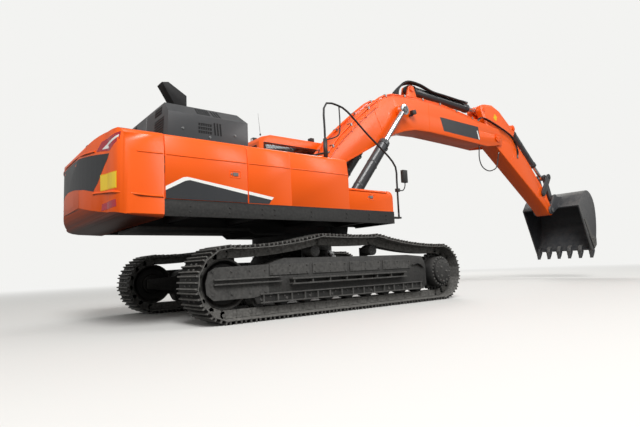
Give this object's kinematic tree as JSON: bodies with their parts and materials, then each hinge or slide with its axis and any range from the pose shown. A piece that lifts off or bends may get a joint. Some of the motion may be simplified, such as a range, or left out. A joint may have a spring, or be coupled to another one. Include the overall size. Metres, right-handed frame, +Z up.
{
  "type": "crawler excavator",
  "caption": "Hydraulic crawler excavator with a backhoe bucket: it swings, lifts the boom, crowds the arm and curls the bucket, with opening doors, hood and toolbox.",
  "frame": {"origin": "middle of the footprint box, on the ground", "axes": "+X forward along the boom, +Y to the left (cab side), +Z up"},
  "size_m": [14.6588, 3.34, 4.8785],
  "materials": {
    "orange_paint": "gloss",
    "black_paint": "satin",
    "charcoal_paint": "satin",
    "bare_steel": "matte",
    "cylinder_paint": "satin",
    "chrome_rod": "polished",
    "tank_shell": "gloss",
    "hollow_cover": "satin",
    "box_section": "gloss",
    "tinted_glass": "gloss",
    "seat_cloth": "matte",
    "trim_plastic": "matte"
  },
  "bodies": {
    "undercarriage": {"car_body": "black_paint", "swing_bearing": "bare_steel", "track_frame_left": "black_paint", "track_frame_right": "black_paint", "track_left": "bare_steel", "track_right": "bare_steel", "sprocket_left": "black_paint", "sprocket_right": "black_paint", "idler_left": "bare_steel", "idler_right": "bare_steel"},
    "upper": {"revolving_frame": "black_paint", "counterweight": "orange_paint", "hydraulic_tank": "tank_shell", "fuel_tank": "tank_shell", "toolbox": "orange_paint", "machinery_house": "charcoal_paint", "engine_block": "box_section", "centre_cover": "hollow_cover", "exhaust_stack": "charcoal_paint", "rear_camera": "trim_plastic", "handrail_right": "black_paint", "mirror_right": "trim_plastic", "cab_shell": "orange_paint", "windscreen": "tinted_glass", "cab_glass_right": "tinted_glass", "cab_glass_left": "tinted_glass", "cab_glass_rear": "tinted_glass", "operator_seat": "seat_cloth", "control_console": "trim_plastic", "work_lamp_front": "trim_plastic", "work_lamp_rear": "trim_plastic", "mirror_left": "trim_plastic"},
    "pump_door": {"pump_door": "orange_paint"},
    "radiator_door": {"radiator_door": "orange_paint"},
    "battery_door": {"battery_door": "orange_paint"},
    "engine_hood": {"engine_hood": "charcoal_paint"},
    "toolbox_lid": {"toolbox_lid": "orange_paint"},
    "cab_door": {"cab_door": "orange_paint", "door_glass": "tinted_glass"},
    "boom": {"boom": "box_section", "boom_lamp": "trim_plastic"},
    "boom_cylinder_left": {"boom_cylinder_left": "cylinder_paint"},
    "boom_cylinder_right": {"boom_cylinder_right": "cylinder_paint"},
    "boom_rod_left": {"boom_rod_left": "chrome_rod"},
    "boom_rod_right": {"boom_rod_right": "chrome_rod"},
    "arm_cylinder": {"arm_cylinder": "cylinder_paint"},
    "arm_rod": {"arm_rod": "chrome_rod"},
    "arm": {"arm": "box_section"},
    "bucket_cylinder": {"bucket_cylinder": "cylinder_paint"},
    "bucket_rod": {"bucket_rod": "chrome_rod"},
    "bucket_rocker": {"bucket_rocker": "black_paint"},
    "push_link": {"push_link": "black_paint"},
    "bucket": {"bucket": "bare_steel"}
  },
  "joints": [
    {"name": "swing", "type": "hinge", "parent": "undercarriage", "child": "upper", "pos_m": [-3.62937, 0, 1], "axis": [0, 0, 1], "continuous": true},
    {"name": "boom_lift", "type": "hinge", "parent": "upper", "child": "boom", "pos_m": [-3.40937, 0, 2.15], "axis": [0, -1, 0], "range_deg": [-58, 43]},
    {"name": "arm_crowd", "type": "hinge", "parent": "boom", "child": "arm", "pos_m": [3.07271, 0, 3.95983], "axis": [0, 1, 0], "range_deg": [-18, 92]},
    {"name": "bucket_curl", "type": "hinge", "parent": "arm", "child": "bucket", "pos_m": [5.81288, 0, 2.09061], "axis": [0, 1, 0], "range_deg": [-45, 110]},
    {"name": "boom_cylinder_left_pin", "type": "hinge", "parent": "upper", "child": "boom_cylinder_left", "pos_m": [-2.83937, 0.4, 1.55], "axis": [0, -1, 0], "range_deg": [-58.11, 43.1]},
    {"name": "boom_rod_left_stroke", "type": "slide", "parent": "boom_cylinder_left", "child": "boom_rod_left", "axis": [0.6294, 0, 0.7771], "range_m": [-0.777, 0.5763]},
    {"name": "boom_cylinder_right_pin", "type": "hinge", "parent": "upper", "child": "boom_cylinder_right", "pos_m": [-2.83937, -0.4, 1.55], "axis": [0, -1, 0], "range_deg": [-58.11, 43.1]},
    {"name": "boom_rod_right_stroke", "type": "slide", "parent": "boom_cylinder_right", "child": "boom_rod_right", "axis": [0.6294, 0, 0.7771], "range_m": [-0.777, 0.5763]},
    {"name": "arm_cylinder_pin", "type": "hinge", "parent": "boom", "child": "arm_cylinder", "pos_m": [-0.17958, 0, 4.72023], "axis": [0, 1, 0], "range_deg": [-0.18, 0.72]},
    {"name": "arm_rod_stroke", "type": "slide", "parent": "arm_cylinder", "child": "arm_rod", "axis": [0.9999, 0, -0.0143], "range_m": [-0.2477, 1.2618]},
    {"name": "rocker_pin", "type": "hinge", "parent": "arm", "child": "bucket_rocker", "pos_m": [5.4324, 0, 2.59226], "axis": [0, 1, 0], "range_deg": [-32.1, 78.39]},
    {"name": "push_link_pin", "type": "hinge", "parent": "bucket_rocker", "child": "push_link", "pos_m": [5.83737, 0, 3.11494], "axis": [0, 1, 0], "range_deg": [-66.94, 27.42]},
    {"name": "bucket_cylinder_pin", "type": "hinge", "parent": "arm", "child": "bucket_cylinder", "pos_m": [4.24832, 0, 4.44103], "axis": [0, 1, 0], "range_deg": [-3.37, 8.16]},
    {"name": "bucket_rod_stroke", "type": "slide", "parent": "bucket_cylinder", "child": "bucket_rod", "axis": [0.7678, 0, -0.6407], "range_m": [-0.3243, 0.7912]},
    {"name": "pump_door_hinge", "type": "hinge", "parent": "upper", "child": "pump_door", "pos_m": [-6.52437, -1.483, 2], "axis": [0, 0, -1], "range_deg": [0, 110]},
    {"name": "radiator_door_hinge", "type": "hinge", "parent": "upper", "child": "radiator_door", "pos_m": [-6.52437, 1.483, 2], "axis": [0, 0, 1], "range_deg": [0, 110]},
    {"name": "battery_door_hinge", "type": "hinge", "parent": "upper", "child": "battery_door", "pos_m": [-4.86437, 1.483, 2], "axis": [0, 0, 1], "range_deg": [0, 110]},
    {"name": "cab_door_hinge", "type": "hinge", "parent": "upper", "child": "cab_door", "pos_m": [-3.22437, 1.502, 2.4], "axis": [0, 0, 1], "range_deg": [0, 172]},
    {"name": "engine_hood_hinge", "type": "hinge", "parent": "upper", "child": "engine_hood", "pos_m": [-6.30437, -0.5, 2.428], "axis": [0, -1, 0], "range_deg": [0, 60]},
    {"name": "toolbox_lid_hinge", "type": "hinge", "parent": "upper", "child": "toolbox_lid", "pos_m": [-3.02937, -0.662, 1.898], "axis": [-1, 0, 0], "range_deg": [0, 85]}
  ],
  "couplings": [
    {"joint": "boom_cylinder_left_pin", "follows": "boom_lift", "ratio": 1.0011},
    {"joint": "boom_rod_left_stroke", "follows": "boom_lift", "m_per_rad": 0.76656},
    {"joint": "boom_cylinder_right_pin", "follows": "boom_lift", "ratio": 1.0011},
    {"joint": "boom_rod_right_stroke", "follows": "boom_lift", "m_per_rad": 0.76656},
    {"joint": "arm_cylinder_pin", "follows": "arm_crowd", "ratio": 0.0073},
    {"joint": "arm_rod_stroke", "follows": "arm_crowd", "m_per_rad": 0.78522},
    {"joint": "rocker_pin", "follows": "bucket_curl", "ratio": 0.71221},
    {"joint": "push_link_pin", "follows": "bucket_curl", "ratio": -0.60812},
    {"joint": "bucket_cylinder_pin", "follows": "bucket_curl", "ratio": 0.07369},
    {"joint": "bucket_rod_stroke", "follows": "bucket_curl", "m_per_rad": 0.41159}
  ]
}
